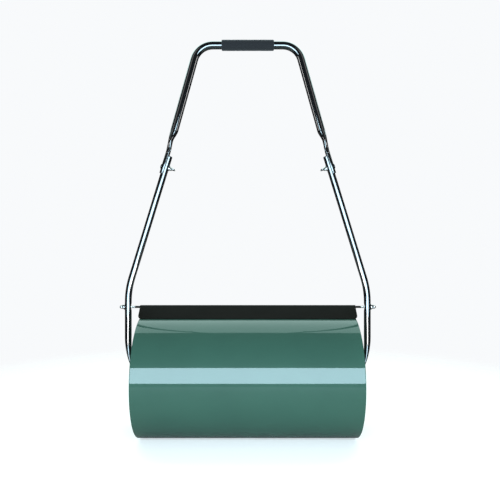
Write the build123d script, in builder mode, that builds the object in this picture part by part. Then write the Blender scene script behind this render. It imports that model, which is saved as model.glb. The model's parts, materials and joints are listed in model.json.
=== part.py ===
from build123d import *
import math
import os

# A lawn roller: a steel drum that is filled with water, between two bent tubes that carry a
# push handle and a scraper. X runs along the axle to the right, -Y is the side of the scraper
# blade and +Z is up. The origin is on the ground, under the middle of the drum.

# Drum
DRUM_RADIUS = 160.0
DRUM_HALF = 286.0
SHEET = 1.5
EDGE_RADIUS = 2.0
LIP_DEPTH = 10.0
DISH_DEPTH = 6.0
DISC_BEND_RADIUS = 3.0
DISC_RIM_WIDTH = 16.0
DISC_SLOPE_WIDTH = 8.0
FLANGE_LENGTH = 12.0
PRESS_GAP = 0.05
AXLE_Z = DRUM_RADIUS

# Axle and hubs
SHAFT_RADIUS = 8.0
RUNNING_CLEARANCE = 0.05
AXLE_TUBE_OUTER = 13.0
AXLE_TUBE_INNER = 11.0
AXLE_TUBE_HALF = 293.6
HUB_PLATE_RADIUS = 38.0
HUB_PLATE_THICKNESS = 3.0
BUSH_LENGTH = 22.0
BUSH_FLANGE_RADIUS = 15.0
BUSH_FLANGE_THICKNESS = 3.0
END_PLAY = 0.4
SPACER_RADIUS = 12.5
THREAD_GAP = 0.03
AXLE_BOLT_RADIUS = 5.0
AXLE_BOLT_LENGTH = 28.0
AXLE_BOLT_END_GAP = 2.0
AXLE_BOLT_HOLE_GAP = 0.2
HEAD_CHAMFER = 0.7
AXLE_BOLT_HEAD_FLATS = 16.0
AXLE_BOLT_HEAD_HEIGHT = 6.4
AXLE_WASHER_RADIUS = 11.0
AXLE_WASHER_THICKNESS = 2.0

# Filler neck and screw plug in the right end disc
FILLER_REACH = 105.0
FILLER_ANGLE = 40.0
NECK_OUTER = 22.0
NECK_BORE = 16.6
NECK_PROUD = 2.0
NECK_DEPTH = 14.0
PLUG_STEM_RADIUS = 16.5
PLUG_STEM_LENGTH = 12.0
PLUG_HEAD_RADIUS = 21.0
PLUG_HEAD_HEIGHT = 10.0
PLUG_FLUTES = 12
PLUG_FLUTE_RADIUS = 2.2
PLUG_FLUTE_OUTSET = 0.8
PLUG_RIM_WIDTH = 5.0
PLUG_GRIP_WIDTH = 6.0
PLUG_WALL = 3.0
TURNED_CHAMFER = 0.8
GASKET_THICKNESS = 2.0
GASKET_INSET = 0.5

# Lower tubes, one each side
LOWER_RADIUS = 9.0
LOWER_WALL = 1.5
LOWER_TOP = (212.5, 748.8)
LOWER_X = 322.3
LOWER_SLOPE = 17.08
LOWER_BEND = 220.0
PADDLE_X = 307.3
PADDLE_THICKNESS = 4.0
PADDLE_WIDTH = 24.5
PADDLE_TOP_Z = 172.0
CRUSH_START_Z = 262.0
CRUSH_START_WIDTH = 2 * LOWER_RADIUS - 0.3
CRUSH_TANGENTS = (62.0, 12.0)
CRUSH_STEPS = 5
FLAT_EDGE_GAP = 0.02
END_CAP_PROUD = 2.5
END_CAP_STEM = 14.0
END_CAP_RIM = 0.5

# Handle: one tube with a top bar, and each leg pressed to a saddle that hugs its lower tube
HANDLE_RADIUS = 10.5
HANDLE_WALL = 1.5
TOP_BAR_Z = 1050.0
TOP_CORNER_X = 133.8
TOP_BEND = 52.0
LEG_SLOPE = 15.57
LEG_END_Z = 820.0
SADDLE_START_RADIUS = HANDLE_RADIUS - 0.15
SADDLE_GAP = 0.1
SADDLE_ABOVE = 8.0
SADDLE_BELOW = 48.0
SADDLE_HALF_WIDTH = 15.4
SADDLE_SQUARENESS = 0.4
SADDLE_PRESSED_BY = 0.78
SADDLE_SECTIONS = 6
SADDLE_STEPS = 6
GRIP_RADIUS = 14.5
GRIP_HALF = 70.5
GRIP_ROUNDING = 2.5

# Bolted joint between each leg and its lower tube
JOINT_BELOW_TOP = 29.6
JOINT_BOLT_RADIUS = 2.95
JOINT_HOLE_RADIUS = 3.25
JOINT_BOLT_END = 25.0
JOINT_HEAD_RADIUS = 7.0
JOINT_HEAD_HEIGHT = 2.0
JOINT_HEAD_RIM = 0.6
JOINT_WASHER_RADIUS = 7.0
JOINT_WASHER_THICKNESS = 1.4
WING_HUB_RADIUS = 5.4
WING_HUB_HEIGHT = 7.5
WING_HUB_TAPER = 8.0
WING_EAR_CENTRE = (9.2, -8.2)
WING_EAR_LEAN = 28.0
WING_EAR_RADII = (4.6, 7.2)
WING_EAR_HALF_THICKNESS = 1.2

# Scraper: a plate hemmed round a rod that turns in the lower tubes
ROD_RADIUS = 3.0
ROD_Z = 344.5
ROD_HOLE_RADIUS = 3.08
ROD_HALF = 341.0
DIMPLE_RADIUS = 25.0
DIMPLE_DEPTH = 2.5
BLADE_HALF = 289.5
BLADE_SHEET = 2.0
BLADE_ANGLE = 48.0
BLADE_REACH = 45.5
BLADE_CORNER = 10.5
SCRAPER_WASHER_RADIUS = 7.5
SCRAPER_WASHER_THICKNESS = 1.6
SCRAPER_NUT_FLATS = 10.0
SCRAPER_NUT_HEX = 5.5
SCRAPER_NUT_HEIGHT = 12.0
SCRAPER_NUT_SHOULDER = 0.4
ROD_CHAMFER = 0.5
SIDE_GAP = 0.3

AXLE = Axis((0, 0, AXLE_Z), (1, 0, 0))
AXLE_PLANE = Plane(origin=(0, 0, AXLE_Z), x_dir=(1, 0, 0), z_dir=(0, -1, 0))
ROD_PLANE = Plane(origin=(0, 0, ROD_Z), x_dir=(1, 0, 0), z_dir=(0, -1, 0))
ROD_AXIS = Axis((0, 0, ROD_Z), (1, 0, 0))


def save(builder, name):
    """Label a finished piece and write it under its node's name."""
    builder.part.label = name
    export_step(builder.part, f"parts/{name}.step")


def smooth(t):
    """Ease from 0 to 1 with no slope at either end."""
    return t * t * (3 - 2 * t)


def turned(outline, plane=AXLE_PLANE, axis=AXLE):
    """Revolve a closed (length, radius) outline about an axis."""
    with BuildPart() as piece:
        with BuildSketch(plane):
            with BuildLine():
                Polyline(*outline, close=True)
            make_face()
        revolve(axis=axis)
    return piece


def ring_outline(start, end, inner, outer):
    """The four corners of a plain ring between two places on its axis."""
    return [(start, inner), (end, inner), (end, outer), (start, outer)]


def mirrored(builder):
    """The same piece on the other side of the roller."""
    with BuildPart() as other:
        mirror(builder.part, about=Plane.YZ)
    return other


def pair(builder):
    """One node that holds a piece and its mirror image."""
    with BuildPart() as both:
        add(builder.part)
        mirror(builder.part, about=Plane.YZ)
    return both


# ---------------------------------------------------------------- drum

def drum_shell():
    """A rolled sheet, its ends turned in over the discs as narrow lips."""
    inner = DRUM_RADIUS - SHEET
    lip = DRUM_RADIUS - LIP_DEPTH
    with BuildPart() as shell:
        with BuildSketch(AXLE_PLANE) as section:
            with BuildLine():
                Polyline(
                    (0, inner),
                    (0, DRUM_RADIUS),
                    (DRUM_HALF, DRUM_RADIUS),
                    (DRUM_HALF, lip),
                    (DRUM_HALF - SHEET, lip),
                    (DRUM_HALF - SHEET, inner),
                    close=True,
                )
            make_face()
            end_corners = section.vertices().group_by(Axis.X)[-1]
            fillet(end_corners.sort_by(Axis.Y)[-1], EDGE_RADIUS)
            inside_corners = section.vertices().filter_by_position(
                Axis.X, DRUM_HALF - SHEET - 0.01, DRUM_HALF - SHEET + 0.01
            )
            fillet(inside_corners.sort_by(Axis.Y)[-1], EDGE_RADIUS - SHEET)
            mirror(about=Plane.YZ)
        revolve(axis=AXLE)
    return shell


def disc_face():
    """Where the outer face of the dished middle of an end disc lies."""
    return DRUM_HALF - SHEET - DISH_DEPTH


def end_disc():
    """A pressed disc: a flange inside the shell, a flat rim under the lip, and a shallow dish."""
    rim = DRUM_HALF - SHEET
    flange = DRUM_RADIUS - SHEET - PRESS_GAP
    dish = disc_face()
    hole = AXLE_TUBE_OUTER + PRESS_GAP
    flange_end = rim - FLANGE_LENGTH
    slope_top = flange - DISC_RIM_WIDTH
    slope_foot = slope_top - DISC_SLOPE_WIDTH
    with BuildPart() as disc:
        with BuildSketch(AXLE_PLANE):
            with BuildLine():
                outer = FilletPolyline(
                    (flange_end, flange),
                    (rim, flange),
                    (rim, slope_top),
                    (dish, slope_foot),
                    (dish, hole),
                    radius=DISC_BEND_RADIUS,
                )
                inner = FilletPolyline(
                    (flange_end, flange - SHEET),
                    (rim - SHEET, flange - SHEET),
                    (rim - SHEET, slope_top + SHEET / 3),
                    (dish - SHEET, slope_foot + SHEET / 3),
                    (dish - SHEET, hole),
                    radius=DISC_BEND_RADIUS - SHEET,
                )
                Line(outer @ 0, inner @ 0)
                Line(outer @ 1, inner @ 1)
            make_face()
        revolve(axis=AXLE)
    return disc


def filler_plane(x):
    """A plane across the filler's axis, its normal pointing out of the drum."""
    turn = math.radians(FILLER_ANGLE)
    y = -FILLER_REACH * math.sin(turn)
    z = AXLE_Z + FILLER_REACH * math.cos(turn)
    return Plane(origin=(x, y, z), x_dir=(0, 1, 0), z_dir=(1, 0, 0))


def filler_disc():
    """The right disc has a hole for the filler neck."""
    with BuildPart() as disc:
        add(end_disc().part)
        with BuildSketch(filler_plane(disc_face() + SHEET)):
            Circle(NECK_OUTER + PRESS_GAP)
        extrude(amount=-4 * SHEET, mode=Mode.SUBTRACT)
    return disc


def filler_neck():
    """A turned ring welded into the disc; its bore is the water inlet."""
    with BuildPart() as neck:
        with BuildSketch(filler_plane(disc_face() + NECK_PROUD)):
            Circle(NECK_OUTER)
            Circle(NECK_BORE, mode=Mode.SUBTRACT)
        extrude(amount=-NECK_DEPTH)
        chamfer(neck.faces().sort_by(Axis.X)[-1].edges(), TURNED_CHAMFER)
    return neck


def filler_gasket():
    """A flat rubber ring under the plug's head."""
    with BuildPart() as gasket:
        with BuildSketch(filler_plane(disc_face() + NECK_PROUD)):
            Circle(PLUG_HEAD_RADIUS - GASKET_INSET)
            Circle(PLUG_STEM_RADIUS + PRESS_GAP, mode=Mode.SUBTRACT)
        extrude(amount=GASKET_THICKNESS)
    return gasket


def filler_plug():
    """A moulded screw plug: a fluted head with a grip bar, on a hollow stem."""
    seat = disc_face() + NECK_PROUD + GASKET_THICKNESS
    with BuildPart() as plug:
        with BuildSketch(filler_plane(seat)):
            Circle(PLUG_HEAD_RADIUS)
            with PolarLocations(PLUG_HEAD_RADIUS + PLUG_FLUTE_OUTSET, PLUG_FLUTES):
                Circle(PLUG_FLUTE_RADIUS, mode=Mode.SUBTRACT)
        extrude(amount=PLUG_HEAD_HEIGHT)
        with BuildSketch(filler_plane(seat + PLUG_HEAD_HEIGHT)):
            Circle(PLUG_HEAD_RADIUS - PLUG_RIM_WIDTH)
            Rectangle(2 * PLUG_HEAD_RADIUS, PLUG_GRIP_WIDTH, mode=Mode.SUBTRACT)
        extrude(amount=-PLUG_HEAD_HEIGHT / 2, mode=Mode.SUBTRACT)
        chamfer(plug.faces().sort_by(Axis.X)[-1].outer_wire().edges(), TURNED_CHAMFER)
        with BuildSketch(filler_plane(seat)):
            Circle(PLUG_STEM_RADIUS)
            Circle(PLUG_STEM_RADIUS - PLUG_WALL, mode=Mode.SUBTRACT)
        extrude(amount=-PLUG_STEM_LENGTH)
    return plug


def axle_tube():
    """The sealed tube through the tank that the shaft passes through."""
    return turned(ring_outline(-AXLE_TUBE_HALF, AXLE_TUBE_HALF, AXLE_TUBE_INNER, AXLE_TUBE_OUTER))


def hub_plate():
    """A stiffening plate welded to the disc round the axle tube."""
    start = disc_face()
    with BuildPart() as plate:
        with BuildSketch(Plane.YZ.offset(start)):
            with Locations((0, AXLE_Z)):
                Circle(HUB_PLATE_RADIUS)
                Circle(AXLE_TUBE_OUTER + PRESS_GAP, mode=Mode.SUBTRACT)
        extrude(amount=HUB_PLATE_THICKNESS)
        chamfer(plate.faces().sort_by(Axis.X)[-1].outer_wire().edges(), TURNED_CHAMFER)
    return plate


def axle_bush():
    """A flanged nylon bush pressed into the end of the axle tube."""
    bore = SHAFT_RADIUS + RUNNING_CLEARANCE
    end = AXLE_TUBE_HALF + BUSH_FLANGE_THICKNESS
    outline = [
        (AXLE_TUBE_HALF - BUSH_LENGTH, bore),
        (end, bore),
        (end, BUSH_FLANGE_RADIUS),
        (AXLE_TUBE_HALF, BUSH_FLANGE_RADIUS),
        (AXLE_TUBE_HALF, AXLE_TUBE_INNER),
        (AXLE_TUBE_HALF - BUSH_LENGTH, AXLE_TUBE_INNER),
    ]
    return turned(outline)


# ---------------------------------------------------------------- axle

def paddle_inner():
    """The inner face of the flattened tube end."""
    return PADDLE_X - PADDLE_THICKNESS / 2


def axle_shaft():
    """A fixed shaft, tapped at both ends, clamped between the tube ends."""
    half = paddle_inner()
    with BuildPart() as shaft:
        with BuildSketch(Plane.YZ.offset(-half)):
            with Locations((0, AXLE_Z)):
                Circle(SHAFT_RADIUS)
        extrude(amount=2 * half)
        for end, inward in ((-half, 1), (half, -1)):
            with BuildSketch(Plane.YZ.offset(end)):
                with Locations((0, AXLE_Z)):
                    Circle(AXLE_BOLT_RADIUS)
            extrude(amount=inward * AXLE_BOLT_LENGTH, mode=Mode.SUBTRACT)
    return shaft


def axle_spacer():
    """A nylon sleeve between the turning bush and the fixed tube end."""
    start = AXLE_TUBE_HALF + BUSH_FLANGE_THICKNESS + END_PLAY
    return turned(ring_outline(start, paddle_inner(), SHAFT_RADIUS + RUNNING_CLEARANCE, SPACER_RADIUS))


def axle_washer():
    """A flat washer under the axle bolt's head."""
    start = PADDLE_X + PADDLE_THICKNESS / 2
    end = start + AXLE_WASHER_THICKNESS
    return turned(ring_outline(start, end, AXLE_BOLT_RADIUS + AXLE_BOLT_HOLE_GAP, AXLE_WASHER_RADIUS))


def axle_bolt():
    """A hexagon bolt screwed into the shaft's end."""
    seat = PADDLE_X + PADDLE_THICKNESS / 2 + AXLE_WASHER_THICKNESS
    shank = AXLE_BOLT_LENGTH - AXLE_BOLT_END_GAP
    with BuildPart() as bolt:
        with BuildSketch(Plane.YZ.offset(seat)):
            with Locations((0, AXLE_Z)):
                RegularPolygon(AXLE_BOLT_HEAD_FLATS / 2, 6, major_radius=False)
        extrude(amount=AXLE_BOLT_HEAD_HEIGHT)
        chamfer(bolt.faces().sort_by(Axis.X)[-1].edges(), HEAD_CHAMFER)
        with BuildSketch(Plane.YZ.offset(seat)):
            with Locations((0, AXLE_Z)):
                Circle(AXLE_BOLT_RADIUS - THREAD_GAP)
        extrude(amount=-shank)
    return bolt


# ---------------------------------------------------------------- lower tubes

def lower_direction():
    """Unit vectors of the right lower tube's slanted run: down along it, and outward from it."""
    slope = math.radians(LOWER_SLOPE)
    down = Vector(math.sin(slope), 0, -math.cos(slope))
    out = Vector(math.cos(slope), 0, math.sin(slope))
    return down, out


def on_lower_axis(distance):
    """A point on the slanted run's centre line, that far below the tube's top end."""
    down, _ = lower_direction()
    return Vector(LOWER_TOP[0], 0, LOWER_TOP[1]) + down * distance


def joint_plane(distance_out=0.0):
    """The plane across the joint bolt of the right side, with its normal outward."""
    _, out = lower_direction()
    return Plane(origin=on_lower_axis(JOINT_BELOW_TOP) + out * distance_out, x_dir=(0, 1, 0), z_dir=out)


def crushed_end():
    """The tube's lower end runs inward and flattens, and its paddle is round about the axle."""
    with BuildLine(Plane.XZ) as inward:
        Bezier(
            (LOWER_X, CRUSH_START_Z),
            (LOWER_X, CRUSH_START_Z - CRUSH_TANGENTS[0]),
            (PADDLE_X, PADDLE_TOP_Z + CRUSH_TANGENTS[1]),
            (PADDLE_X, PADDLE_TOP_Z),
        )
    paddle_rounding = PADDLE_THICKNESS / 2 - FLAT_EDGE_GAP
    with BuildPart() as end:
        for step in range(CRUSH_STEPS + 1):
            t = step / CRUSH_STEPS
            flat = smooth(t)
            thickness = CRUSH_START_WIDTH + (PADDLE_THICKNESS - CRUSH_START_WIDTH) * flat
            width = CRUSH_START_WIDTH + (PADDLE_WIDTH - CRUSH_START_WIDTH) * flat
            place = Plane(origin=inward.line @ t, x_dir=(0, 1, 0), z_dir=inward.line % t)
            with BuildSketch(place):
                RectangleRounded(width, thickness, thickness / 2 - FLAT_EDGE_GAP)
        loft()
        with BuildSketch(Plane.XY.offset(AXLE_Z)):
            with Locations((PADDLE_X, 0)):
                RectangleRounded(PADDLE_THICKNESS, PADDLE_WIDTH, paddle_rounding)
        extrude(amount=PADDLE_TOP_Z - AXLE_Z)
        with BuildSketch(Plane.XY.offset(AXLE_Z)):
            with Locations((PADDLE_X, 0)):
                RectangleRounded(PADDLE_THICKNESS, PADDLE_WIDTH, paddle_rounding)
            with Locations((PADDLE_X, PADDLE_WIDTH / 2)):
                Rectangle(2 * PADDLE_THICKNESS, PADDLE_WIDTH, mode=Mode.SUBTRACT)
        revolve(axis=Axis((PADDLE_X, 0, AXLE_Z), (1, 0, 0)), revolution_arc=180)
        with BuildSketch(Plane.YZ.offset(PADDLE_X)):
            with Locations((0, AXLE_Z)):
                Circle(AXLE_BOLT_RADIUS + AXLE_BOLT_HOLE_GAP)
        extrude(amount=PADDLE_THICKNESS, both=True, mode=Mode.SUBTRACT)
    return end


def lower_tube():
    """The right lower tube: slanted, bent upright, then crushed flat to a paddle at the axle."""
    drop = (LOWER_X - LOWER_TOP[0]) / math.tan(math.radians(LOWER_SLOPE))
    corner = (LOWER_X, LOWER_TOP[1] - drop)
    dimple_x = LOWER_X - LOWER_RADIUS + DIMPLE_DEPTH - DIMPLE_RADIUS
    crushed = crushed_end().part
    with BuildPart() as tube:
        with BuildLine(Plane.XZ) as path:
            FilletPolyline(LOWER_TOP, corner, (LOWER_X, CRUSH_START_Z), radius=LOWER_BEND)
        with BuildSketch(Plane(origin=path.line @ 0, z_dir=path.line % 0)):
            Circle(LOWER_RADIUS)
            Circle(LOWER_RADIUS - LOWER_WALL, mode=Mode.SUBTRACT)
        sweep(path=path.line)
        add(crushed)
        # The wall is pressed in on the drum's side, and drilled for the scraper's rod.
        with BuildSketch(Plane.XY.offset(ROD_Z - DIMPLE_RADIUS / 2)):
            with Locations((LOWER_X, 0)):
                Circle(LOWER_RADIUS - LOWER_WALL)
        extrude(amount=DIMPLE_RADIUS)
        with BuildSketch(Plane.XZ):
            with Locations((dimple_x, ROD_Z)):
                Circle(DIMPLE_RADIUS)
        extrude(amount=2 * LOWER_RADIUS, both=True, mode=Mode.SUBTRACT)
        with BuildSketch(Plane.YZ.offset(LOWER_X)):
            with Locations((0, ROD_Z)):
                Circle(ROD_HOLE_RADIUS)
        extrude(amount=2 * LOWER_RADIUS, both=True, mode=Mode.SUBTRACT)
        with BuildSketch(joint_plane()):
            Circle(JOINT_HOLE_RADIUS)
        extrude(amount=2 * LOWER_RADIUS, both=True, mode=Mode.SUBTRACT)
    return tube


def tube_end_cap():
    """A plastic cap pushed into the lower tube's top end."""
    down, _ = lower_direction()
    top = on_lower_axis(0)
    with BuildPart() as cap:
        with BuildSketch(Plane(origin=top, x_dir=(0, 1, 0), z_dir=down * -1)):
            Circle(LOWER_RADIUS)
        extrude(amount=END_CAP_PROUD)
        fillet(cap.edges().sort_by(Axis.Z)[-1], END_CAP_PROUD - END_CAP_RIM)
        with BuildSketch(Plane(origin=top, x_dir=(0, 1, 0), z_dir=down)):
            Circle(LOWER_RADIUS - LOWER_WALL - PRESS_GAP)
            Circle(LOWER_RADIUS - 2 * LOWER_WALL, mode=Mode.SUBTRACT)
        extrude(amount=END_CAP_STEM)
    return cap


# ---------------------------------------------------------------- handle

def on_leg(z, distance_out=0.0):
    """A point on the right leg's centre line at a height, moved outward from it."""
    slope = math.radians(LEG_SLOPE)
    x = TOP_CORNER_X + (TOP_BAR_Z - z) * math.tan(slope)
    return Vector(x, 0, z) + Vector(math.cos(slope), 0, math.sin(slope)) * distance_out


def pressed_half_thickness(flat):
    """Half the leg's thickness as it is pressed from round (flat = 0) to two walls (flat = 1)."""
    return SADDLE_START_RADIUS + (HANDLE_WALL - SADDLE_START_RADIUS) * flat


def pressed_point(flat, turn):
    """A point of the leg's section as it is pressed from round (flat = 0) to a crescent (flat = 1)."""
    half_width = SADDLE_START_RADIUS + (SADDLE_HALF_WIDTH - SADDLE_START_RADIUS) * flat
    half_thickness = pressed_half_thickness(flat)
    squareness = 1 - SADDLE_SQUARENESS * flat
    across = half_width * math.copysign(abs(math.cos(turn)) ** squareness, math.cos(turn))
    thick = half_thickness * math.copysign(abs(math.sin(turn)) ** squareness, math.sin(turn))
    if flat == 0:
        return thick, across
    radius = (LOWER_RADIUS + SADDLE_GAP + HANDLE_WALL) / flat
    angle = across / radius
    return (radius + thick) * math.cos(angle) - radius, (radius + thick) * math.sin(angle)


def pressed_quarters(flat):
    """The section's rim as four runs of points that meet at their ends."""
    step = math.pi / 2 / SADDLE_STEPS
    quarters = []
    for quarter in range(4):
        start = math.pi / 4 + quarter * math.pi / 2
        quarters.append([pressed_point(flat, start + step * i) for i in range(SADDLE_STEPS + 1)])
    return quarters


def saddle_plane(outer_point, down, flat):
    """A plane across the leg whose origin is the middle of the pressed wall."""
    out = Vector(-down.Z, 0, down.X)
    return Plane(origin=outer_point - out * pressed_half_thickness(flat), x_dir=out, z_dir=down)


def saddle():
    """The right leg's pressed end: a loft from round to crescent, then a straight saddle."""
    down, out = lower_direction()
    seat = LOWER_RADIUS + SADDLE_GAP + 2 * HANDLE_WALL
    leg_down = (on_leg(0) - on_leg(1)).normalized()
    start = on_leg(LEG_END_Z, SADDLE_START_RADIUS)
    end = on_lower_axis(-SADDLE_ABOVE) + out * seat
    with BuildLine() as outer:
        Spline(start, end, tangents=(leg_down, down))
    with BuildPart() as piece:
        for step in range(SADDLE_SECTIONS + 1):
            t = step / SADDLE_SECTIONS
            flat = smooth(min(1, t / SADDLE_PRESSED_BY))
            with BuildSketch(saddle_plane(outer.line @ t, outer.line % t, flat)):
                with BuildLine():
                    for quarter in pressed_quarters(flat):
                        Spline(*quarter)
                make_face()
        loft()
        with BuildSketch(saddle_plane(end, down, 1)):
            with BuildLine():
                for quarter in pressed_quarters(1):
                    Spline(*quarter)
            make_face()
        extrude(amount=SADDLE_ABOVE + SADDLE_BELOW)
        with BuildSketch(saddle_plane(start, leg_down, 0)):
            Circle(HANDLE_RADIUS - HANDLE_WALL * 3 / 4)
        extrude(amount=HANDLE_WALL, both=True)
        with BuildSketch(joint_plane()):
            Circle(JOINT_HOLE_RADIUS)
        extrude(amount=3 * LOWER_RADIUS, mode=Mode.SUBTRACT)
    return piece


def upper_handle():
    """One bent tube with a saddle at the end of each leg."""
    right_end = on_leg(LEG_END_Z)
    right_saddle = saddle().part
    with BuildPart() as handle:
        with BuildLine(Plane.XZ) as path:
            FilletPolyline(
                (-right_end.X, LEG_END_Z),
                (-TOP_CORNER_X, TOP_BAR_Z),
                (TOP_CORNER_X, TOP_BAR_Z),
                (right_end.X, LEG_END_Z),
                radius=TOP_BEND,
            )
        with BuildSketch(Plane(origin=path.line @ 0, z_dir=path.line % 0)):
            Circle(HANDLE_RADIUS)
            Circle(HANDLE_RADIUS - HANDLE_WALL, mode=Mode.SUBTRACT)
        sweep(path=path.line)
        add(right_saddle)
        mirror(right_saddle, about=Plane.YZ)
    return handle


def foam_grip():
    """A foam sleeve round the middle of the top bar."""
    with BuildPart() as grip:
        with BuildSketch(Plane.YZ.offset(-GRIP_HALF)):
            with Locations((0, TOP_BAR_Z)):
                Circle(GRIP_RADIUS)
        extrude(amount=2 * GRIP_HALF)
        fillet(grip.edges().filter_by(GeomType.CIRCLE), GRIP_ROUNDING)
        with BuildSketch(Plane.YZ.offset(-GRIP_HALF)):
            with Locations((0, TOP_BAR_Z)):
                Circle(HANDLE_RADIUS + PRESS_GAP)
        extrude(amount=2 * GRIP_HALF, mode=Mode.SUBTRACT)
    return grip


# ---------------------------------------------------------------- joint hardware

def joint_bolt():
    """A cup-head bolt through the saddle and the lower tube, its head outside."""
    seat = LOWER_RADIUS + 2 * HANDLE_WALL + 2 * SADDLE_GAP
    with BuildPart() as bolt:
        with BuildSketch(joint_plane(-JOINT_BOLT_END)):
            Circle(JOINT_BOLT_RADIUS)
        extrude(amount=JOINT_BOLT_END + seat)
        with BuildSketch(joint_plane(seat)):
            Circle(JOINT_HEAD_RADIUS)
        extrude(amount=JOINT_HEAD_HEIGHT)
        crown = bolt.faces().sort_by(Axis((0, 0, 0), tuple(lower_direction()[1])))[-1]
        fillet(crown.edges(), JOINT_HEAD_HEIGHT - JOINT_HEAD_RIM)
    return bolt


def joint_washer():
    """A flat washer between the lower tube and the wing nut."""
    with BuildPart() as washer:
        with BuildSketch(joint_plane(-LOWER_RADIUS - PRESS_GAP)):
            Circle(JOINT_WASHER_RADIUS)
            Circle(JOINT_HOLE_RADIUS, mode=Mode.SUBTRACT)
        extrude(amount=-JOINT_WASHER_THICKNESS)
    return washer


def wing_nut():
    """A wing nut on the inner side: a tapered hub with two ears."""
    down, _ = lower_direction()
    seat = -LOWER_RADIUS - PRESS_GAP - JOINT_WASHER_THICKNESS
    ear_y, ear_in = WING_EAR_CENTRE
    ears = Plane(origin=joint_plane(seat).origin, x_dir=(0, 1, 0), z_dir=down)
    with BuildPart() as nut:
        with BuildSketch(joint_plane(seat)):
            Circle(WING_HUB_RADIUS)
        extrude(amount=-WING_HUB_HEIGHT, taper=WING_HUB_TAPER)
        with BuildSketch(ears):
            for side in (-1, 1):
                with Locations(Location((side * ear_y, ear_in), side * WING_EAR_LEAN)):
                    Ellipse(*WING_EAR_RADII)
        extrude(amount=WING_EAR_HALF_THICKNESS, both=True)
        with BuildSketch(joint_plane(seat)):
            Circle(JOINT_BOLT_RADIUS + THREAD_GAP)
        extrude(amount=-JOINT_BOLT_END, mode=Mode.SUBTRACT)
    return nut


# ---------------------------------------------------------------- scraper

def scraper_blade():
    """A plate that leans forward to the drum, its top edge rolled round the rod."""
    lean = math.radians(BLADE_ANGLE)
    normal = Vector(0, -math.cos(lean), math.sin(lean))
    middle = ROD_RADIUS + BLADE_SHEET / 2
    origin = Vector(0, 0, ROD_Z) + normal * middle
    with BuildPart() as blade:
        with BuildSketch(Plane(origin=origin, x_dir=(1, 0, 0), z_dir=normal)) as face:
            with Locations((0, -BLADE_REACH / 2)):
                Rectangle(2 * BLADE_HALF, BLADE_REACH)
            fillet(face.vertices().group_by(Axis.Y)[0], BLADE_CORNER)
        extrude(amount=BLADE_SHEET / 2, both=True)
        with BuildSketch(Plane.YZ.offset(-BLADE_HALF)):
            with Locations((0, ROD_Z)):
                Circle(ROD_RADIUS + BLADE_SHEET)
        extrude(amount=2 * BLADE_HALF)
        with BuildSketch(Plane.YZ.offset(-BLADE_HALF)):
            with Locations((0, ROD_Z)):
                Circle(ROD_RADIUS + PRESS_GAP / 2)
        extrude(amount=2 * BLADE_HALF, mode=Mode.SUBTRACT)
    return blade


def scraper_rod():
    """A round rod, threaded at its ends, that carries the blade."""
    with BuildPart() as rod:
        with BuildSketch(Plane.YZ.offset(-ROD_HALF)):
            with Locations((0, ROD_Z)):
                Circle(ROD_RADIUS)
        extrude(amount=2 * ROD_HALF)
        chamfer(rod.edges().filter_by(GeomType.CIRCLE), ROD_CHAMFER)
    return rod


def scraper_washer():
    """A flat washer outside the lower tube, free to turn with the rod."""
    start = LOWER_X + LOWER_RADIUS + SIDE_GAP
    end = start + SCRAPER_WASHER_THICKNESS
    outline = ring_outline(start, end, ROD_RADIUS + PRESS_GAP, SCRAPER_WASHER_RADIUS)
    return turned(outline, ROD_PLANE, ROD_AXIS)


def scraper_nut():
    """A domed nut on the rod's end."""
    start = LOWER_X + LOWER_RADIUS + SIDE_GAP + SCRAPER_WASHER_THICKNESS
    dome_radius = SCRAPER_NUT_FLATS / 2 - SCRAPER_NUT_SHOULDER
    depth = ROD_HALF - start + ROD_CHAMFER
    with BuildPart() as nut:
        with BuildSketch(Plane.YZ.offset(start)):
            with Locations((0, ROD_Z)):
                RegularPolygon(SCRAPER_NUT_FLATS / 2, 6, major_radius=False)
        extrude(amount=SCRAPER_NUT_HEX)
        with BuildSketch(Plane.YZ.offset(start)):
            with Locations((0, ROD_Z)):
                Circle(dome_radius)
        extrude(amount=SCRAPER_NUT_HEIGHT)
        fillet(nut.faces().sort_by(Axis.X)[-1].edges(), dome_radius - SCRAPER_NUT_SHOULDER)
        with BuildSketch(Plane.YZ.offset(start)):
            with Locations((0, ROD_Z)):
                Circle(ROD_RADIUS + PRESS_GAP / 2)
        extrude(amount=depth, mode=Mode.SUBTRACT)
    return nut


# ---------------------------------------------------------------- build every piece

os.makedirs("parts", exist_ok=True)

save(drum_shell(), "drum_shell")
save(mirrored(end_disc()), "end_disc_left")
save(filler_disc(), "end_disc_right")
save(filler_neck(), "filler_neck")
save(filler_gasket(), "filler_gasket")
save(filler_plug(), "filler_plug")
save(axle_tube(), "axle_tube")
save(mirrored(hub_plate()), "hub_plate_left")
save(hub_plate(), "hub_plate_right")
save(mirrored(axle_bush()), "axle_bush_left")
save(axle_bush(), "axle_bush_right")

save(axle_shaft(), "axle_shaft")
save(pair(axle_spacer()), "axle_spacers")
save(pair(axle_washer()), "axle_washers")
save(pair(axle_bolt()), "axle_bolts")

right_tube = lower_tube()
save(mirrored(right_tube), "lower_tube_left")
save(right_tube, "lower_tube_right")
save(pair(tube_end_cap()), "tube_end_caps")

save(upper_handle(), "upper_handle")
save(foam_grip(), "foam_grip")
save(pair(joint_bolt()), "joint_bolts")
save(pair(joint_washer()), "joint_washers")
save(pair(wing_nut()), "wing_nuts")

save(scraper_blade(), "scraper_blade")
save(scraper_rod(), "scraper_rod")
save(pair(scraper_washer()), "scraper_washers")
save(pair(scraper_nut()), "scraper_nuts")
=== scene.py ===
import json
import math

import bmesh
import bpy
from mathutils import Matrix, Vector, noise


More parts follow.
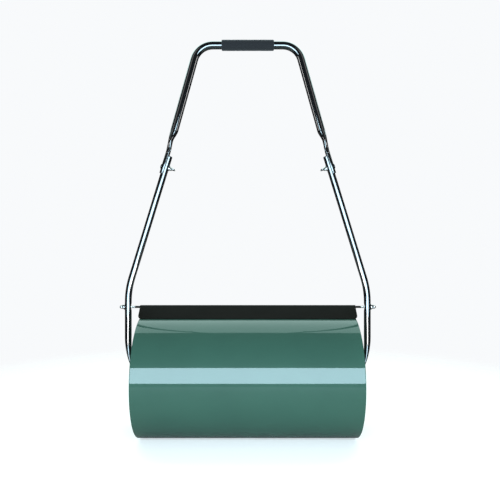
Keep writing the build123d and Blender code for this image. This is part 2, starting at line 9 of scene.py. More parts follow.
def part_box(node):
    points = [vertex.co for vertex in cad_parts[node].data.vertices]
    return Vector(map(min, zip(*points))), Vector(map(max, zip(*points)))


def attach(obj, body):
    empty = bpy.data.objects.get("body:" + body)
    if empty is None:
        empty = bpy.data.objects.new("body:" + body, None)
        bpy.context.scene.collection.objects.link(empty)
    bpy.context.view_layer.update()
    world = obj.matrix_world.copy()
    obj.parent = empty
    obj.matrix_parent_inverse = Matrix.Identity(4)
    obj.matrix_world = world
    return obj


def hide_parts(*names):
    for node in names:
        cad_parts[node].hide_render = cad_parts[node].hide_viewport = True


# A lawn roller in a plain studio. Lengths are in metres unless a name says otherwise.

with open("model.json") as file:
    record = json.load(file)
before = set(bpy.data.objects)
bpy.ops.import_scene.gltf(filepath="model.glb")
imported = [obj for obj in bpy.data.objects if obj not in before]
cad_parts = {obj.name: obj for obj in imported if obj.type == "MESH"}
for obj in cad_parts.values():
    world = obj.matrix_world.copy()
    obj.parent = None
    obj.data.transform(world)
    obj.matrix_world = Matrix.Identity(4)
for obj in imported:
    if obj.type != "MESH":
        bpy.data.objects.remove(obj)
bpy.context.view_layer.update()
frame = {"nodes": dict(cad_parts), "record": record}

MM = 0.001

# ---------------------------------------------------------------- camera, light and floor

CAMERA_AT = (0.0060, -1.461, 0.498)
CAMERA_LENS_MM = 39.0
CAMERA_SENSOR_MM = 36.0

FRONT_BOX_AT = (0.0, -1.62, 0.525)
FRONT_BOX_SIZE = (2.2, 0.81)
FRONT_BOX_WATTS = 70.0
FRONT_BOX_COLOUR = (0.62, 0.86, 1.0)
TOP_BOX_AT = (0.0, 1.25, 2.47)
TOP_BOX_SIZE = (6.0, 2.12)
TOP_BOX_WATTS = 76.0
TOP_BOX_COLOUR = (0.72, 1.0, 0.96)
SIDE_PANEL_AT = (1.35, -1.25, 2.0)
SIDE_PANEL_SIZE = (0.9, 1.3)
SIDE_PANEL_WATTS = 2.6
RIM_PANEL_AT = (1.9, -0.4, 0.98)
RIM_PANEL_SIZE = (0.32, 0.75)
RIM_PANEL_WATTS = 4.5
LOW_PANEL_AT = (0.0, -1.65, 0.03)
LOW_PANEL_SIZE = (1.3, 1.6)
LOW_PANEL_WATTS = 95.0
DRUM_AIM = (0, 0, 0.3)
HANDLE_AIM = (0, 0, 0.9)
FLOOR_RADIUS = 6.0
FLOOR_FADE = (0.75, 1.5)
FLOOR_COLOUR = (0.88, 0.84, 0.81)
FLOOR_GLOW = 0.42
FLOOR_GLOW_ON_PIECES = 0.04
FLOOR_REFLECTED = 0.25
BACKDROP = (0.94, 0.955, 0.97)
ROOM_FILL = (0.30, 0.30, 0.30)
ROOM_REFLECTED = (0.02, 0.02, 0.02)


def make_camera():
    """A level camera in front of the roller, at the middle of its height."""
    data = bpy.data.cameras.new("camera")
    data.lens = CAMERA_LENS_MM
    data.sensor_width = CAMERA_SENSOR_MM
    camera = bpy.data.objects.new("camera", data)
    camera.location = CAMERA_AT
    camera.rotation_euler = (math.pi / 2, 0, 0)
    bpy.context.scene.collection.objects.link(camera)
    bpy.context.scene.camera = camera


def area_light(name, place, target, size, watts, colour=(1.0, 1.0, 1.0)):
    """A soft rectangular light that faces a point and isn't seen by the camera."""
    data = bpy.data.lights.new(name, "AREA")
    data.shape = "RECTANGLE"
    data.size, data.size_y = size
    data.energy = watts
    data.color = colour
    light = bpy.data.objects.new(name, data)
    light.location = place
    aim = Vector(target) - Vector(place)
    light.rotation_euler = aim.to_track_quat("-Z", "Y").to_euler()
    light.visible_camera = False
    bpy.context.scene.collection.objects.link(light)
    return light


def light_only(light, pieces):
    """Link a light to a few pieces, so that it shows as a highlight on them alone."""
    receivers = bpy.data.collections.new(f"{light.name}_receivers")
    for piece in pieces:
        receivers.objects.link(piece)
    light.light_linking.receiver_collection = receivers


def make_lights():
    """A front and a top box for everything, and panels that only shape the tubes' highlights."""
    front_aim = (0, 0, FRONT_BOX_AT[2])
    area_light("front_box", FRONT_BOX_AT, front_aim, FRONT_BOX_SIZE, FRONT_BOX_WATTS, FRONT_BOX_COLOUR)
    area_light("top_box", TOP_BOX_AT, DRUM_AIM, TOP_BOX_SIZE, TOP_BOX_WATTS, TOP_BOX_COLOUR)
    for side in (-1, 1):
        for name, place, size, watts in (
            ("side_panel", SIDE_PANEL_AT, SIDE_PANEL_SIZE, SIDE_PANEL_WATTS),
            ("rim_panel", RIM_PANEL_AT, RIM_PANEL_SIZE, RIM_PANEL_WATTS),
        ):
            panel = area_light(name, (side * place[0], place[1], place[2]), HANDLE_AIM, size, watts)
            light_only(panel, [frame["nodes"]["upper_handle"]])
    above_panel = (0, LOW_PANEL_AT[1], 1)
    low_panel = area_light("low_panel", LOW_PANEL_AT, above_panel, LOW_PANEL_SIZE, LOW_PANEL_WATTS)
    light_only(low_panel, [frame["nodes"][name] for name in ("lower_tube_left", "lower_tube_right")])


def make_world():
    """A pale backdrop behind everything, and a dim room for what the paint reflects."""
    world = bpy.data.worlds.new("studio")
    bpy.context.scene.world = world
    world.use_nodes = True
    nodes, links = world.node_tree.nodes, world.node_tree.links
    nodes.clear()
    output = nodes.new("ShaderNodeOutputWorld")
    path = nodes.new("ShaderNodeLightPath")

    def background(colour):
        shader = nodes.new("ShaderNodeBackground")
        shader.inputs["Color"].default_value = (*colour, 1)
        return shader

    def choose(ray, otherwise, chosen):
        mix = nodes.new("ShaderNodeMixShader")
        links.new(path.outputs[ray], mix.inputs["Fac"])
        links.new(otherwise.outputs[0], mix.inputs[1])
        links.new(chosen.outputs[0], mix.inputs[2])
        return mix

    lit = choose("Is Glossy Ray", background(ROOM_FILL), background(ROOM_REFLECTED))
    seen = choose("Is Camera Ray", lit, background(BACKDROP))
    links.new(seen.outputs["Shader"], output.inputs["Surface"])


def make_floor():
    """A round pale floor, fading into the backdrop, that glows a little and reflects faintly."""
    mesh = bpy.data.meshes.new("floor")
    shape = bmesh.new()
    bmesh.ops.create_circle(shape, cap_ends=True, segments=96, radius=FLOOR_RADIUS)
    shape.to_mesh(mesh)
    shape.free()
    floor = bpy.data.objects.new("floor", mesh)
    bpy.context.scene.collection.objects.link(floor)
    material = bpy.data.materials.new("studio_floor")
    material.use_nodes = True
    nodes, links = material.node_tree.nodes, material.node_tree.links
    paint = nodes["Principled BSDF"]
    paint.inputs["Base Color"].default_value = (*FLOOR_COLOUR, 1)
    paint.inputs["Roughness"].default_value = 0.75
    paint.inputs["Specular IOR Level"].default_value = 0.2
    paint.inputs["Emission Color"].default_value = (*BACKDROP, 1)
    place = nodes.new("ShaderNodeTexCoord")
    distance = nodes.new("ShaderNodeVectorMath")
    distance.operation = "LENGTH"
    fade = nodes.new("ShaderNodeMapRange")
    fade.interpolation_type = "SMOOTHSTEP"
    fade.inputs["From Min"].default_value = FLOOR_FADE[0]
    fade.inputs["From Max"].default_value = FLOOR_FADE[1]
    clear = nodes.new("ShaderNodeBsdfTransparent")
    ray = nodes.new("ShaderNodeLightPath")
    glow = nodes.new("ShaderNodeMapRange")
    glow.inputs["To Min"].default_value = FLOOR_GLOW_ON_PIECES
    glow.inputs["To Max"].default_value = FLOOR_GLOW
    muted = nodes.new("ShaderNodeMath")
    muted.operation = "MULTIPLY"
    muted.inputs[1].default_value = 1.0 - FLOOR_REFLECTED
    gone = nodes.new("ShaderNodeMath")
    gone.operation = "MAXIMUM"
    mix = nodes.new("ShaderNodeMixShader")
    links.new(place.outputs["Object"], distance.inputs[0])
    links.new(distance.outputs["Value"], fade.inputs["Value"])
    links.new(ray.outputs["Is Camera Ray"], glow.inputs["Value"])
    links.new(glow.outputs["Result"], paint.inputs["Emission Strength"])
    links.new(ray.outputs["Is Glossy Ray"], muted.inputs[0])
    links.new(fade.outputs["Result"], gone.inputs[0])
    links.new(muted.outputs["Value"], gone.inputs[1])
    links.new(gone.outputs["Value"], mix.inputs["Fac"])
    links.new(paint.outputs["BSDF"], mix.inputs[1])
    links.new(clear.outputs["BSDF"], mix.inputs[2])
    links.new(mix.outputs["Shader"], nodes["Material Output"].inputs["Surface"])
    mesh.materials.append(material)


# ---------------------------------------------------------------- materials

def new_material(name, colour, roughness, metallic=0.0):
    """A Principled material with uniform values set on its own sockets."""
    material = bpy.data.materials.new(name)
    material.use_nodes = True
    shader = material.node_tree.nodes["Principled BSDF"]
    shader.inputs["Base Color"].default_value = (*colour, 1)
    shader.inputs["Roughness"].default_value = roughness
    shader.inputs["Metallic"].default_value = metallic
    return material


def noise_field(material, scale, detail=2.0, stretch=(1, 1, 1)):
    """Procedural noise in the piece's own space; scale is its features per metre."""
    nodes, links = material.node_tree.nodes, material.node_tree.links
    place = nodes.new("ShaderNodeTexCoord")
    mapping = nodes.new("ShaderNodeMapping")
    mapping.inputs["Scale"].default_value = stretch
    field = nodes.new("ShaderNodeTexNoise")
    field.inputs["Scale"].default_value = scale
    field.inputs["Detail"].default_value = detail
    links.new(place.outputs["Object"], mapping.inputs["Vector"])
    links.new(mapping.outputs["Vector"], field.inputs["Vector"])
    return field


def vary_colour(material, field, dark, light):
    """The base colour wanders between two close tones."""
    nodes, links = material.node_tree.nodes, material.node_tree.links
    ramp = nodes.new("ShaderNodeValToRGB")
    ramp.color_ramp.elements[0].position = 0.3
    ramp.color_ramp.elements[0].color = (*dark, 1)
    ramp.color_ramp.elements[1].position = 0.7
    ramp.color_ramp.elements[1].color = (*light, 1)
    links.new(field.outputs["Fac"], ramp.inputs["Fac"])
    links.new(ramp.outputs["Color"], nodes["Principled BSDF"].inputs["Base Color"])


def vary_roughness(material, field, low, high):
    """The roughness wanders between two values."""
    nodes, links = material.node_tree.nodes, material.node_tree.links
    spread = nodes.new("ShaderNodeMapRange")
    spread.inputs["From Min"].default_value = 0.3
    spread.inputs["From Max"].default_value = 0.7
    spread.inputs["To Min"].default_value = low
    spread.inputs["To Max"].default_value = high
    links.new(field.outputs["Fac"], spread.inputs["Value"])
    links.new(spread.outputs["Result"], nodes["Principled BSDF"].inputs["Roughness"])


def add_bump(material, field, depth, coat=False):
    """Relief of a depth in metres, on the surface and on its coat if it has one."""
    nodes, links = material.node_tree.nodes, material.node_tree.links
    bump = nodes.new("ShaderNodeBump")
    bump.inputs["Strength"].default_value = 1.0
    bump.inputs["Distance"].default_value = depth
    links.new(field.outputs["Fac"], bump.inputs["Height"])
    links.new(bump.outputs["Normal"], nodes["Principled BSDF"].inputs["Normal"])
    if coat:
        links.new(bump.outputs["Normal"], nodes["Principled BSDF"].inputs["Coat Normal"])


def set_coat(material, weight, roughness):
    """A clear gloss over the base."""
    shader = material.node_tree.nodes["Principled BSDF"]
    shader.inputs["Coat Weight"].default_value = weight
    shader.inputs["Coat Roughness"].default_value = roughness


def drum_paint():
    """Deep green gloss enamel with a trace of orange peel."""
    material = new_material("drum_paint", (0.029, 0.070, 0.050), 0.38)
    clouds = noise_field(material, 6, 3)
    vary_colour(material, clouds, (0.0275, 0.066, 0.0475), (0.0305, 0.074, 0.0525))
    vary_roughness(material, noise_field(material, 40, 3), 0.30, 0.40)
    add_bump(material, noise_field(material, 160, 1), 0.000006, coat=True)
    set_coat(material, 1.0, 0.025)
    material.node_tree.nodes["Principled BSDF"].inputs["Specular IOR Level"].default_value = 0.06
    return material


def tube_paint():
    """Gloss black powder coat."""
    material = new_material("tube_paint", (0.004, 0.004, 0.0045), 0.1)
    vary_roughness(material, noise_field(material, 90, 3), 0.08, 0.12)
    add_bump(material, noise_field(material, 220, 1), 0.000001, coat=True)
    set_coat(material, 1.0, 0.03)
    material.node_tree.nodes["Principled BSDF"].inputs["Coat IOR"].default_value = 1.9
    return material


def blade_paint():
    """Satin black enamel, slightly uneven."""
    material = new_material("blade_paint", (0.0045, 0.0032, 0.0021), 0.46)
    material.node_tree.nodes["Principled BSDF"].inputs["Specular IOR Level"].default_value = 0.14
    clouds = noise_field(material, 18, 4)
    vary_colour(material, clouds, (0.0038, 0.0027, 0.0017), (0.0052, 0.0037, 0.0025))
    vary_roughness(material, noise_field(material, 60, 4), 0.42, 0.55)
    add_bump(material, noise_field(material, 900, 2), 0.000012)
    return material


def zinc_plate():
    """Bright zinc plating with a faint cloudy passivation."""
    material = new_material("zinc_plate", (0.76, 0.73, 0.72), 0.28, metallic=1.0)
    vary_colour(material, noise_field(material, 260, 3), (0.70, 0.66, 0.65), (0.84, 0.80, 0.77))
    vary_roughness(material, noise_field(material, 420, 3), 0.22, 0.38)
    add_bump(material, noise_field(material, 1500, 2), 0.000010)
    return material


def ground_steel():
    """A ground shaft: fine scratches round its length."""
    material = new_material("ground_steel", (0.52, 0.53, 0.55), 0.3, metallic=1.0)
    scratches = noise_field(material, 700, 2, stretch=(1, 0.04, 0.04))
    vary_roughness(material, scratches, 0.24, 0.40)
    add_bump(material, scratches, 0.000008)
    return material


def foam():
    """Closed-cell foam: soft dark grey with fine pores."""
    material = new_material("foam", (0.0125, 0.0122, 0.0138), 0.92)
    grain = noise_field(material, 900, 4)
    vary_colour(material, grain, (0.0092, 0.009, 0.0102), (0.0158, 0.0154, 0.0174))
    add_bump(material, noise_field(material, 1500, 4), 0.00018)
    shader = material.node_tree.nodes["Principled BSDF"]
    shader.inputs["Specular IOR Level"].default_value = 0.25
    shader.inputs["Sheen Weight"].default_value = 0.15
    return material


def moulded(name, colour, roughness, grain):
    """A moulded plastic or rubber with a fine spark-eroded grain."""
    material = new_material(name, colour, roughness)
    lighter = tuple(min(1.0, c * 1.15) for c in colour)
    vary_colour(material, noise_field(material, 120, 3), colour, lighter)
    vary_roughness(material, noise_field(material, 400, 2), roughness - 0.05, roughness + 0.06)
    add_bump(material, noise_field(material, 2200, 2), grain)
    return material


MATERIALS = {
    "drum_green": drum_paint(),
    "tube_black": tube_paint(),
    "blade_black": blade_paint(),
    "zinc_steel": zinc_plate(),
    "shaft_steel": ground_steel(),
    "foam_grey": foam(),
    "plastic_black": moulded("black_plastic", (0.016, 0.016, 0.017), 0.45, 0.00002),
    "nylon_natural": moulded("natural_nylon", (0.66, 0.63, 0.55), 0.42, 0.00001),
    "gasket_rubber": moulded("gasket_rubber", (0.018, 0.018, 0.018), 0.7, 0.00002),
}


def finish_cad_nodes():
    """Every CAD node takes the material of its record slot."""
    slots = {part["node"]: part["material_slot"] for part in frame["record"]["subparts"]}
    for name, node in frame["nodes"].items():
        for place in node.material_slots:
            place.material = MATERIALS[slots[name]]


# ---------------------------------------------------------------- detailed pieces

SIDES = {"left": -1, "right": 1}
AXLE_Z = (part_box("drum_shell")[0].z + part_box("drum_shell")[1].z) / 2
DRUM_RADIUS = (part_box("drum_shell")[1].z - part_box("drum_shell")[0].z) / 2

THREAD_SEGMENTS = 32
THREAD_STEPS = 6
THREAD_PITCH = 1.0 * MM
THREAD_CHAMFER_LENGTH = 0.4 * MM
THREAD_CHAMFER_DEPTH = 0.5 * MM

# A pair is a length along an axis and a radius about it, in millimetres.
JOINT_TILT = math.radians(17.08)
WASHER_HALF = 0.7 * MM
JOINT_HEAD_SEAT = 21.95 * MM
JOINT_BOLT_END = 15.25 * MM
JOINT_HEAD_DOME = ((-1.95, 0.8), (-1.9, 2.6), (-1.7, 4.4), (-1.2, 6.1), (-0.7, 6.8), (-0.2, 7.0))
JOINT_HEAD_FACE = ((0, 6.9), (0, 2.95))
JOINT_THREAD_START = 9 * MM
JOINT_THREAD_RADIUS = 2.94 * MM
JOINT_THREAD_DEPTH = 0.55 * MM

WING_HUB_FOOT = ((0.1, 3.0), (0.1, 4.9), (0.5, 5.3), (1.2, 5.35))
WING_HUB_TOP = ((6.6, 4.5), (7.2, 4.1), (7.45, 3.6), (7.45, 3.0))
EAR_LAYERS = 9
EAR_POINTS = 36
EAR_RIM = 1.0
EAR_HALF_WIDTH = 4.5
EAR_HALF_HEIGHT = 7.1
EAR_HALF_THICKNESS = 1.15
EAR_WAIST = 0.16
EAR_LEAN = math.radians(28)
EAR_OUT = 9.1
EAR_UP = 8.1

ROD_BARE_FROM = 304 * MM
ROD_END_IN_NUT = 4 * MM
ROD_STEP_LENGTH = 0.5 * MM
ROD_STEP_DEPTH = 0.4 * MM
ROD_THREAD_BELOW = 0.03 * MM
ROD_THREAD_DEPTH = 0.5 * MM

FOAM_BELOW = 0.25 * MM
FOAM_SHORTER = 0.15 * MM
FOAM_WALL = 3.6 * MM
FOAM_ROUNDING = 2.6 * MM
FOAM_ROUNDING_STEPS = 6
FOAM_ROWS = 110
FOAM_SEGMENTS = 96
FOAM_GRAIN_ALONG = 90
FOAM_GRAIN_ROUND = 1.3
FOAM_GRAINS = ((3.4, 0.16), (8.0, 0.10), (0.6, 0.14))

AXLE_BOLT_SEGMENTS = 72
AXLE_HEAD_HEIGHT = 6.4
AXLE_HEAD_FLATS = 16.0
AXLE_SHANK = ((-24, 4.2), (-23, 4.95), (-0.02, 4.95))
AXLE_WASHER_FACE = ((0.02, 7.6), (0.5, 7.6), (0.5, 8.3))
AXLE_UNDER_HEIGHT = 0.56
AXLE_CHAMFER_HEIGHT = 1.2
AXLE_CHAMFER_DEPTH = 2.1
AXLE_HEAD_DISH = ((6.25, 6.6), (6.1, 3.0))

WELD_SEGMENTS = 10
WELD_PITCH = 2.6 * MM
WELD_STEPS = 4
WELD_LEAST = 0.90
WELD_RIPPLE = 0.14
WELD_WANDER = 0.10
HUB_WELD = (0.3 * MM, 1.7 * MM)
TUBE_WELD = (0.3 * MM, 1.5 * MM)
NECK_WELD = (0.2 * MM, 1.4 * MM)

SHELL_SEGMENTS = 256
SHELL_RIM_STEPS = 8
SHELL_RIM = 2.0 * MM
SHELL_SHEET = 1.5 * MM
SHELL_LIP = 10.0 * MM

SEAM_TURN = math.radians(128)
SEAM_ROWS = 560
SEAM_COLUMNS = 8
SEAM_SHORTER = 4 * MM
SEAM_HEIGHT = 0.24
SEAM_RIPPLE = 0.04
SEAM_RIPPLE_PITCH = 3.2 * MM
SEAM_HEIGHT_WANDER = 0.05
SEAM_HALF_WIDTH = 2.6
SEAM_WIDTH_WANDER = 0.3
SEAM_SUNK = 0.02 * MM
SEAM_ROOT = 0.3 * MM


def ring_piece(name, rings, body, slot, replaced=(), loop=False, sharp=38):
    """A closed mesh through rings of points, which rides on a body and takes a slot's finish."""
    shape = bmesh.new()
    rows = [[shape.verts.new(point) for point in ring] for ring in rings]
    neighbours = list(zip(rows, rows[1:]))
    if loop:
        neighbours.append((rows[-1], rows[0]))
    else:
        shape.faces.new(rows[0])
        shape.faces.new(rows[-1])
    for low, high in neighbours:
        for i in range(len(low)):
            j = (i + 1) % len(low)
            shape.faces.new((low[i], low[j], high[j], high[i]))
    bmesh.ops.recalc_face_normals(shape, faces=shape.faces)
    mesh = bpy.data.meshes.new(name)
    shape.to_mesh(mesh)
    shape.free()
    mesh.shade_smooth()
    mesh.set_sharp_from_angle(angle=math.radians(sharp))
    mesh.materials.append(MATERIALS[slot])
    piece = bpy.data.objects.new(name, mesh)
    bpy.context.scene.collection.objects.link(piece)
    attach(piece, body)
    if replaced:
        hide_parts(*replaced)
    return piece


def axis_place(origin, along):
    """A matrix whose Z runs along an axis from its origin, and whose X lies near the world's Y."""
    z_axis = Vector(along).normalized()
    y_axis = z_axis.cross(Vector((0, 1, 0))).normalized()
    x_axis = y_axis.cross(z_axis)
    place = Matrix((x_axis, y_axis, z_axis)).transposed().to_4x4()
    place.translation = origin
    return place


def turned_rings(place, outline, segments, relief=None):
    """A ring about an axis for each (length, radius) of an outline; relief(length, turn) adds to it."""
    rings = []
    for length, radius in outline:
        ring = []
        for step in range(segments):
            turn = 2 * math.pi * step / segments
            reach = radius + (relief(length, turn) if relief else 0.0)
            ring.append(place @ Vector((reach * math.cos(turn), reach * math.sin(turn), length)))
        rings.append(ring)
    return rings


def ease(t):
    """Ease from 0 to 1, held at both ends."""
    t = min(1.0, max(0.0, t))
    return t * t * (3 - 2 * t)


def thread_relief(start, end, depth):
    """How far a screw thread between two lengths cuts below its crest."""
    def relief(length, turn):
        fade = ease((length - start) / THREAD_PITCH) * ease((end - length) / THREAD_PITCH)
        return -depth * fade * (0.5 - 0.5 * math.cos(2 * math.pi * length / THREAD_PITCH - turn))
    return relief


def thread_outline(start, end, radius):
    """Closely spaced lengths along a thread, with a chamfer at its far end."""
    count = max(2, round((end - start) / THREAD_PITCH * THREAD_STEPS))
    outline = [(start + (end - start) * i / count, radius) for i in range(count + 1)]
    return outline + [(end + THREAD_CHAMFER_LENGTH, radius - THREAD_CHAMFER_DEPTH)]


def half_middle(node, side):
    """The middle of the box round the pieces of a CAD node on one side of the roller."""
    points = [v.co for v in frame["nodes"][node].data.vertices if v.co.x * side > 0]
    low = Vector([min(point[axis] for point in points) for axis in range(3)])
    high = Vector([max(point[axis] for point in points) for axis in range(3)])
    return (low + high) / 2


def joint_place(side, length):
    """A place on a joint bolt's axis, its Z inward, measured from the middle of the washer."""
    inward = Vector((-side * math.cos(JOINT_TILT), 0, -math.sin(JOINT_TILT)))
    return axis_place(half_middle("joint_washers", side) + inward * length, inward)


def in_metres(pairs):
    """Lengths and radii turned from millimetres to metres."""
    return [(length * MM, radius * MM) for length, radius in pairs]


def joint_bolt(side_name, side):
    """A black bolt: a low domed head outside the saddle, and a threaded end past the wing nut."""
    end = JOINT_HEAD_SEAT + JOINT_BOLT_END - THREAD_CHAMFER_DEPTH
    outline = in_metres(JOINT_HEAD_DOME + JOINT_HEAD_FACE)
    outline += thread_outline(JOINT_THREAD_START, end, JOINT_THREAD_RADIUS)
    relief = thread_relief(JOINT_THREAD_START, end + THREAD_PITCH, JOINT_THREAD_DEPTH)
    rings = turned_rings(joint_place(side, -JOINT_HEAD_SEAT), outline, THREAD_SEGMENTS, relief)
    ring_piece(f"joint_bolt_{side_name}", rings, "frame", "tube_black", ["joint_bolts"])


def wing_nut(side_name, side):
    """A pressed wing nut: a tapered hub with a bore, and two crowned ears that lean outward."""
    place = joint_place(side, WASHER_HALF)
    rings = turned_rings(place, in_metres(WING_HUB_FOOT + WING_HUB_TOP), THREAD_SEGMENTS)
    ring_piece(f"wing_nut_hub_{side_name}", rings, "frame", "zinc_steel", ["wing_nuts"], loop=True)
    for ear_name, ear_side in (("front", -1), ("back", 1)):
        rings = [[place @ point for point in ring] for ring in ear_rings(ear_side)]
        name = f"wing_nut_ear_{side_name}_{ear_name}"
        ring_piece(name, rings, "frame", "zinc_steel", ["wing_nuts"], sharp=70)


def ear_rings(ear_side):
    """Outlines through the thickness of an ear, drawn in towards both faces so its rim is round."""
    rings = []
    for layer in range(EAR_LAYERS):
        bulge = math.pi * (layer / (EAR_LAYERS - 1) - 0.5)
        inset = EAR_RIM * (1 - math.cos(bulge))
        y = EAR_HALF_THICKNESS * MM * math.sin(bulge)
        ring = []
        for step in range(EAR_POINTS):
            turn = 2 * math.pi * step / EAR_POINTS
            waist = 1 - EAR_WAIST * (0.5 - 0.5 * math.sin(turn))
            across = (EAR_HALF_WIDTH - inset) * waist * math.cos(turn)
            up = (EAR_HALF_HEIGHT - inset) * math.sin(turn)
            x = EAR_OUT + across * math.cos(EAR_LEAN) + up * math.sin(EAR_LEAN)
            z = EAR_UP - across * math.sin(EAR_LEAN) + up * math.cos(EAR_LEAN)
            ring.append(Vector((ear_side * x * MM, y, z * MM)))
        rings.append(ring)
    return rings


def scraper_rod():
    """The rod: black between the tubes, with bare threaded ends that run on into the dome nuts."""
    low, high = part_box("scraper_rod")
    radius = (high.z - low.z) / 2
    middle = (low + high) / 2
    half = [(ROD_BARE_FROM - ROD_STEP_LENGTH, radius), (ROD_BARE_FROM, radius - ROD_STEP_DEPTH)]
    bar = [(-length, reach) for length, reach in reversed(half)] + half
    rings = turned_rings(axis_place(middle, (1, 0, 0)), bar, THREAD_SEGMENTS)
    ring_piece("scraper_rod_bar", rings, "scraper", "blade_black", ["scraper_rod"])
    end = high.x - ROD_END_IN_NUT
    outline = thread_outline(ROD_BARE_FROM, end, radius - ROD_THREAD_BELOW)
    relief = thread_relief(ROD_BARE_FROM - THREAD_PITCH, end + THREAD_PITCH, ROD_THREAD_DEPTH)
    for side_name, side in SIDES.items():
        rings = turned_rings(axis_place(middle, (side, 0, 0)), outline, THREAD_SEGMENTS, relief)
        ring_piece(f"scraper_rod_end_{side_name}", rings, "scraper", "zinc_steel", ["scraper_rod"])


def foam_sleeve():
    """The grip: an uneven foam sleeve with soft ends, pressed on the top bar."""
    low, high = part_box("foam_grip")
    radius = (high.z - low.z) / 2 - FOAM_BELOW
    half = (high.x - low.x) / 2 - FOAM_SHORTER
    end = [(-half, radius - FOAM_WALL)]
    for step in range(FOAM_ROUNDING_STEPS, -1, -1):
        turn = math.pi / 2 * step / FOAM_ROUNDING_STEPS
        length = -half + FOAM_ROUNDING * (1 - math.sin(turn))
        end.append((length, radius - FOAM_ROUNDING * (1 - math.cos(turn))))
    inner = half - FOAM_ROUNDING
    outline = end + [(-inner + 2 * inner * row / FOAM_ROWS, radius) for row in range(1, FOAM_ROWS)]
    outline += [(-length, reach) for length, reach in reversed(end)]
    place = axis_place((low + high) / 2, (1, 0, 0))
    rings = turned_rings(place, outline, FOAM_SEGMENTS, foam_relief)
    ring_piece("foam_sleeve", rings, "frame", "foam_grey", ["foam_grip"], loop=True, sharp=60)


def foam_relief(length, turn):
    """The foam's uneven surface: fine pores over slow swells."""
    round_x, round_y = math.cos(turn) * FOAM_GRAIN_ROUND, math.sin(turn) * FOAM_GRAIN_ROUND
    point = Vector((length * FOAM_GRAIN_ALONG, round_x, round_y))
    return sum(noise.noise(point * scale) * depth for scale, depth in FOAM_GRAINS) * MM


def hexagon_reach(turn):
    """The distance from the axis to the rim of the axle bolt's hexagon, in millimetres."""
    within = (turn + math.pi / 6) % (math.pi / 3) - math.pi / 6
    return AXLE_HEAD_FLATS / 2 / math.cos(within)


def axle_bolt(side_name, side):
    """A hexagon bolt whose head has a washer face and a turned 30-degree chamfer."""
    corner = hexagon_reach(math.pi / 6)
    face_top, face_radius = AXLE_WASHER_FACE[-1]
    outline = list(AXLE_SHANK + AXLE_WASHER_FACE)
    for step in range(5):
        part = step / 4
        radius = face_radius + (corner - face_radius) * part
        outline.append((face_top + AXLE_UNDER_HEIGHT * part, radius))
    for step in range(9):
        part = step / 8
        length = AXLE_HEAD_HEIGHT - AXLE_CHAMFER_HEIGHT * (1 - part)
        outline.append((length, corner - AXLE_CHAMFER_DEPTH * part))
    outline += AXLE_HEAD_DISH
    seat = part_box("axle_bolts")[1].x - AXLE_HEAD_HEIGHT * MM
    place = axis_place((side * seat, 0, AXLE_Z), (side, 0, 0))
    rings = []
    for length, cone in outline:
        ring = []
        for step in range(AXLE_BOLT_SEGMENTS):
            turn = 2 * math.pi * step / AXLE_BOLT_SEGMENTS
            reach = min(hexagon_reach(turn), cone) * MM
            ring.append(place @ Vector((reach * math.cos(turn), reach * math.sin(turn), length * MM)))
        rings.append(ring)
    ring_piece(f"axle_bolt_{side_name}", rings, "frame", "zinc_steel", ["axle_bolts"], sharp=24)


def weld_bead(name, x, centre, joint_radius, bead):
    """A rippled bead of weld laid round a turned joint, painted over."""
    offset, bead_radius = bead
    steps = round(2 * math.pi * (joint_radius + offset) / WELD_PITCH) * WELD_STEPS
    rings = []
    for step in range(steps):
        turn = 2 * math.pi * step / steps
        wave = (step % WELD_STEPS) / WELD_STEPS
        wander = noise.noise(Vector((math.cos(turn) * 9, math.sin(turn) * 9, x * 40)))
        reach = bead_radius * (WELD_LEAST + WELD_RIPPLE * wave + WELD_WANDER * wander)
        ring = []
        for corner in range(WELD_SEGMENTS):
            roll = 2 * math.pi * corner / WELD_SEGMENTS
            radius = joint_radius + offset + reach * math.cos(roll)
            y = centre[0] + radius * math.sin(turn)
            z = centre[1] + radius * math.cos(turn)
            ring.append(Vector((x + reach * math.sin(roll), y, z)))
        rings.append(ring)
    ring_piece(name, rings, "drum", "drum_green", loop=True, sharp=60)


def half_height(node):
    """Half the height of a node's box, which is its radius if it is round."""
    low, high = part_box(node)
    return (high.z - low.z) / 2


def drum_welds():
    """Beads round both hub plates, both ends of the axle tube, and the filler neck."""
    axle = (0.0, AXLE_Z)
    for side_name, side in SIDES.items():
        plate = f"hub_plate_{side_name}"
        low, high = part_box(plate)
        foot, face = (low.x, high.x) if side > 0 else (high.x, low.x)
        weld_bead(f"hub_weld_{side_name}", foot, axle, half_height(plate), HUB_WELD)
        weld_bead(f"tube_weld_{side_name}", face, axle, half_height("axle_tube"), TUBE_WELD)
    low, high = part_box("filler_neck")
    neck = ((low.y + high.y) / 2, (low.z + high.z) / 2)
    disc_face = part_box("hub_plate_right")[0].x
    weld_bead("neck_weld", disc_face, neck, half_height("filler_neck"), NECK_WELD)


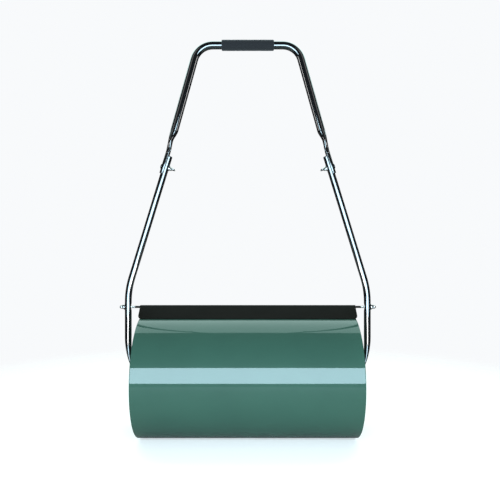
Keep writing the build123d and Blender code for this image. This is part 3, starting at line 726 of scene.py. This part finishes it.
def rolled_shell():
    """The drum's open tube with its turned-in lips, finely turned so that its rims stay smooth."""
    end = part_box("drum_shell")[1].x
    inner = DRUM_RADIUS - SHELL_SHEET
    lip = DRUM_RADIUS - SHELL_LIP
    side = []
    for step in range(SHELL_RIM_STEPS + 1):
        turn = math.pi / 2 * step / SHELL_RIM_STEPS
        length = end - SHELL_RIM * (1 - math.sin(turn))
        side.append((length, DRUM_RADIUS - SHELL_RIM * (1 - math.cos(turn))))
    side += [(end, lip), (end - SHELL_SHEET, lip), (end - SHELL_SHEET, inner)]
    outline = [(-length, radius) for length, radius in reversed(side)] + side
    rings = turned_rings(axis_place((0, 0, AXLE_Z), (1, 0, 0)), outline, SHELL_SEGMENTS)
    ring_piece("rolled_shell", rings, "drum", "drum_green", ["drum_shell"], loop=True)


def shell_seam():
    """The flattened bead where the drum's rolled sheet is welded along its length, low at the back."""
    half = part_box("drum_shell")[1].x - SEAM_SHORTER
    rings = []
    for row in range(SEAM_ROWS + 1):
        x = -half + 2 * half * row / SEAM_ROWS
        ripple = SEAM_RIPPLE * math.sin(2 * math.pi * x / SEAM_RIPPLE_PITCH)
        swell = SEAM_HEIGHT_WANDER * noise.noise(Vector((x * 60, 0, 0)))
        height = (SEAM_HEIGHT + ripple + swell) * MM
        width = (SEAM_HALF_WIDTH + SEAM_WIDTH_WANDER * noise.noise(Vector((x * 45, 5, 0)))) * MM
        ring = []
        for step in range(SEAM_COLUMNS + 1):
            across = -1 + 2 * step / SEAM_COLUMNS
            rise = height * (1 - across * across)
            ring.append((across * width, DRUM_RADIUS - SEAM_SUNK + rise))
        ring += [(width, DRUM_RADIUS - SEAM_ROOT), (-width, DRUM_RADIUS - SEAM_ROOT)]
        turned = [(SEAM_TURN + across / DRUM_RADIUS, radius) for across, radius in ring]
        rings.append([seam_point(x, turn, radius) for turn, radius in turned])
    ring_piece("shell_seam", rings, "drum", "drum_green", sharp=60)


def seam_point(x, turn, radius):
    """A point on the drum at a turn from its top towards the back."""
    return Vector((x, radius * math.sin(turn), AXLE_Z + radius * math.cos(turn)))


def make_details():
    """Pieces that stand for plain CAD nodes, and the welds that CAD leaves out."""
    for side_name, side in SIDES.items():
        joint_bolt(side_name, side)
        wing_nut(side_name, side)
        axle_bolt(side_name, side)
    scraper_rod()
    foam_sleeve()
    drum_welds()
    rolled_shell()
    shell_seam()


make_camera()
make_world()
make_floor()
make_lights()
bpy.context.scene.view_settings.view_transform = "Standard"
finish_cad_nodes()
make_details()
